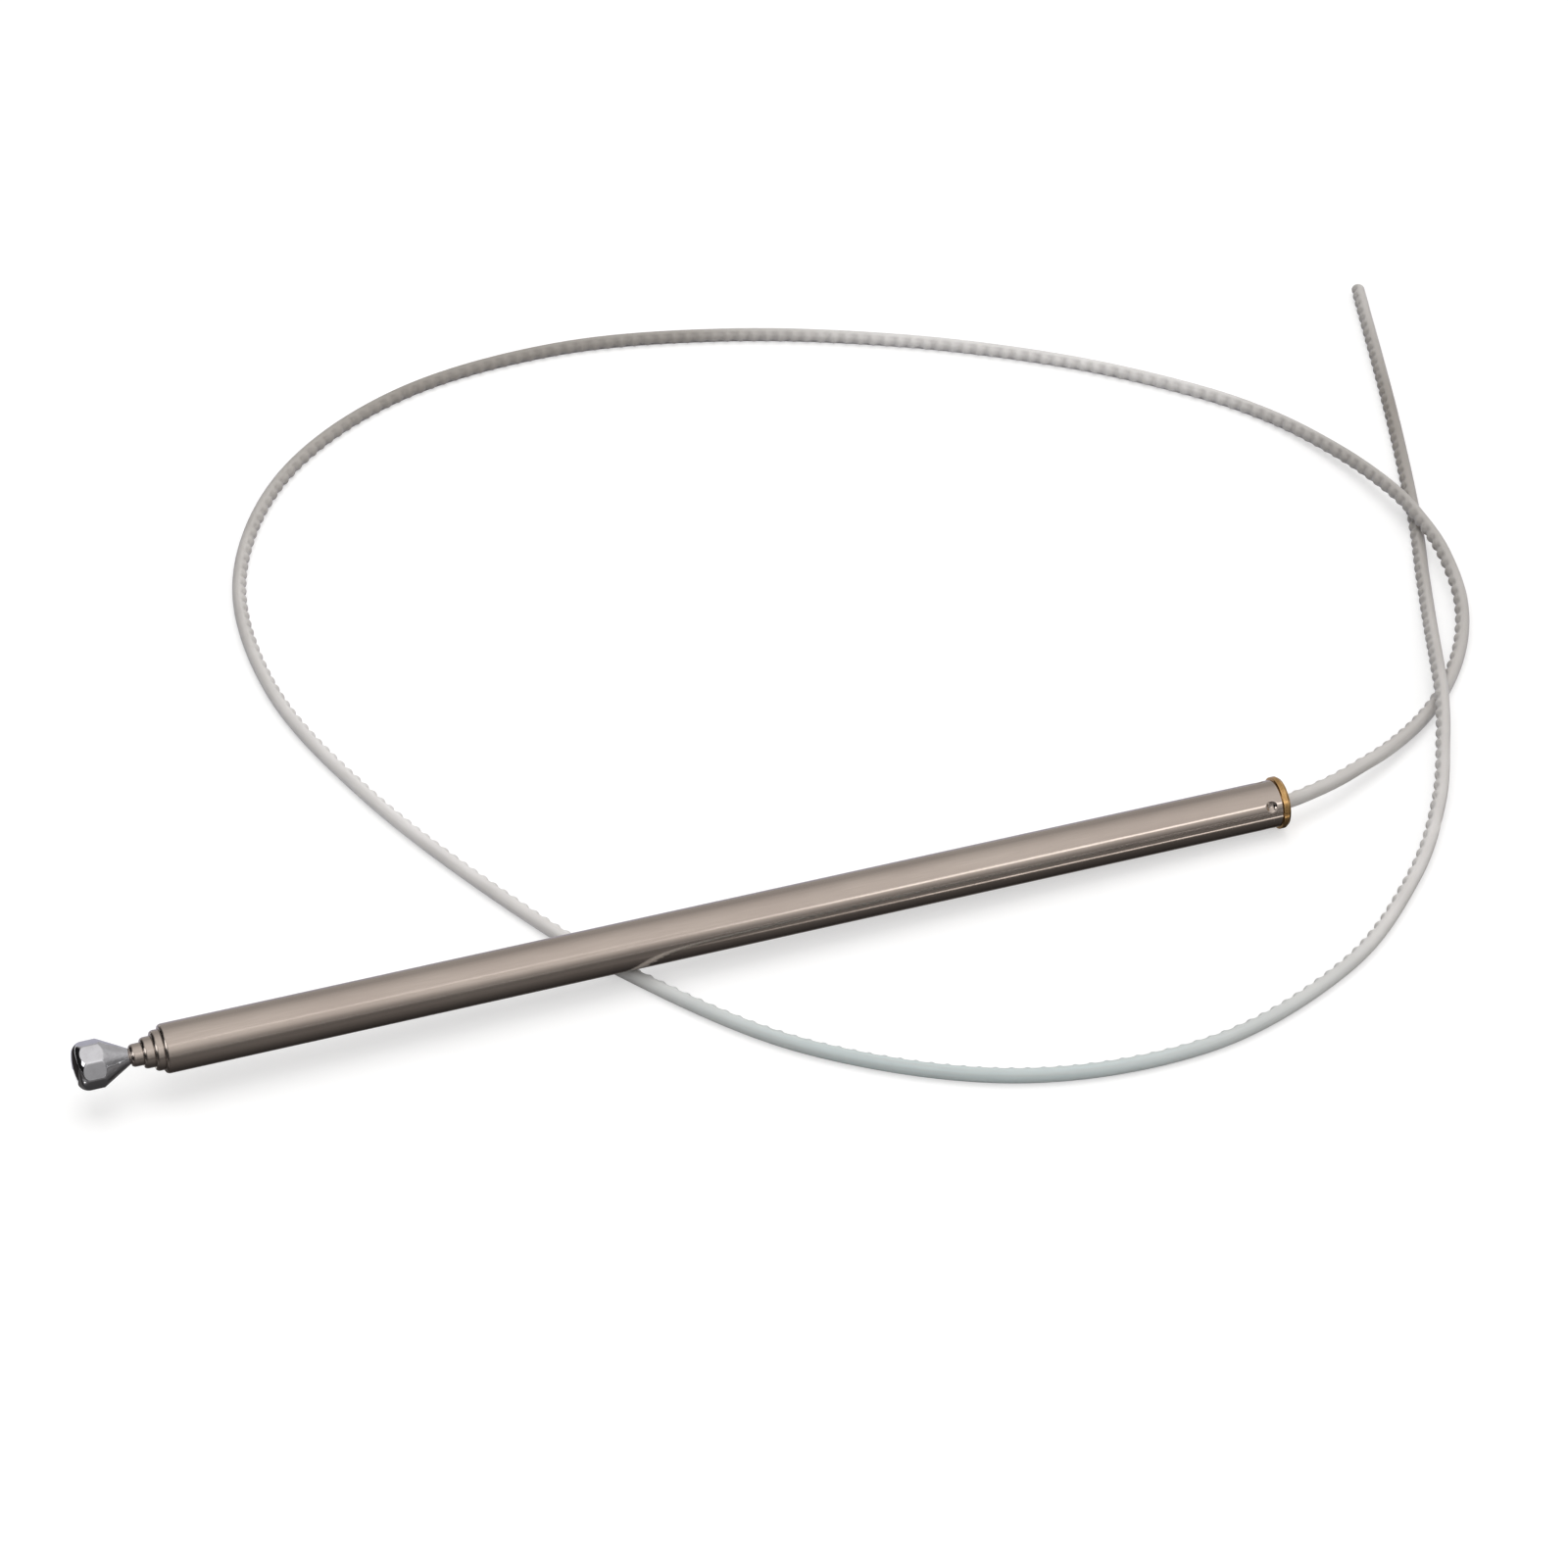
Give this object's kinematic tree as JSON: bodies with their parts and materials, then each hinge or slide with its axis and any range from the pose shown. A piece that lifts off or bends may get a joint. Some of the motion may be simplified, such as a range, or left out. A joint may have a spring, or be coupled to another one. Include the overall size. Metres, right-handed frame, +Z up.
{
  "type": "telescopic aerial mast",
  "caption": "Replacement telescopic mast for a motor-driven car aerial: nested steel tubes with a chromed octagonal tip knob, a brass base ferrule and a toothed nylon drive cable.",
  "frame": {"origin": "on the mast's axis, where the outer tube meets the base ferrule's flange", "axes": "the mast lies on its side: its tip points to -X and up by 1.2 degrees, the cable leaves towards +X, and +Z is up from the surface it lies on"},
  "size_m": [0.3565, 0.2867, 0.0156],
  "materials": {
    "satin_steel": "warm satin stainless, drawn along its length",
    "polished_chrome": "bright chrome on turned bar",
    "turned_brass": "bright turned brass with fine tool lines",
    "spring_bronze": "dull spring bronze",
    "white_nylon": "translucent natural nylon, softly glossy"
  },
  "bodies": {
    "mast_base": {"outer_tube": "satin_steel", "base_ferrule": "turned_brass", "drive_cable": "white_nylon"},
    "lower_section": {"lower_tube": "satin_steel", "lower_guide_bush": "turned_brass", "lower_contact_spring": "spring_bronze", "lower_stop_collar": "turned_brass"},
    "middle_section": {"middle_tube": "satin_steel", "middle_guide_bush": "turned_brass", "middle_contact_spring": "spring_bronze", "middle_stop_collar": "turned_brass"},
    "upper_section": {"upper_tube": "satin_steel", "upper_guide_bush": "turned_brass", "upper_contact_spring": "spring_bronze", "upper_stop_collar": "turned_brass"},
    "tip_section": {"tip_rod": "satin_steel", "tip_knob": "polished_chrome", "tip_contact_spring": "spring_bronze", "tip_stop_collar": "turned_brass", "cable_coupling": "turned_brass", "drive_cable_core": "white_nylon"}
  },
  "joints": [
    {"name": "lower_slide", "type": "slide", "parent": "mast_base", "child": "lower_section", "axis": [-0.9998, 0, 0.0204], "range_m": [0, 0.2131]},
    {"name": "middle_slide", "type": "slide", "parent": "lower_section", "child": "middle_section", "axis": [-0.9998, 0, 0.0204], "range_m": [0, 0.2149]},
    {"name": "upper_slide", "type": "slide", "parent": "middle_section", "child": "upper_section", "axis": [-0.9998, 0, 0.0204], "range_m": [0, 0.217]},
    {"name": "tip_slide", "type": "slide", "parent": "upper_section", "child": "tip_section", "axis": [-0.9998, 0, 0.0204], "range_m": [0, 0.2133]}
  ]
}
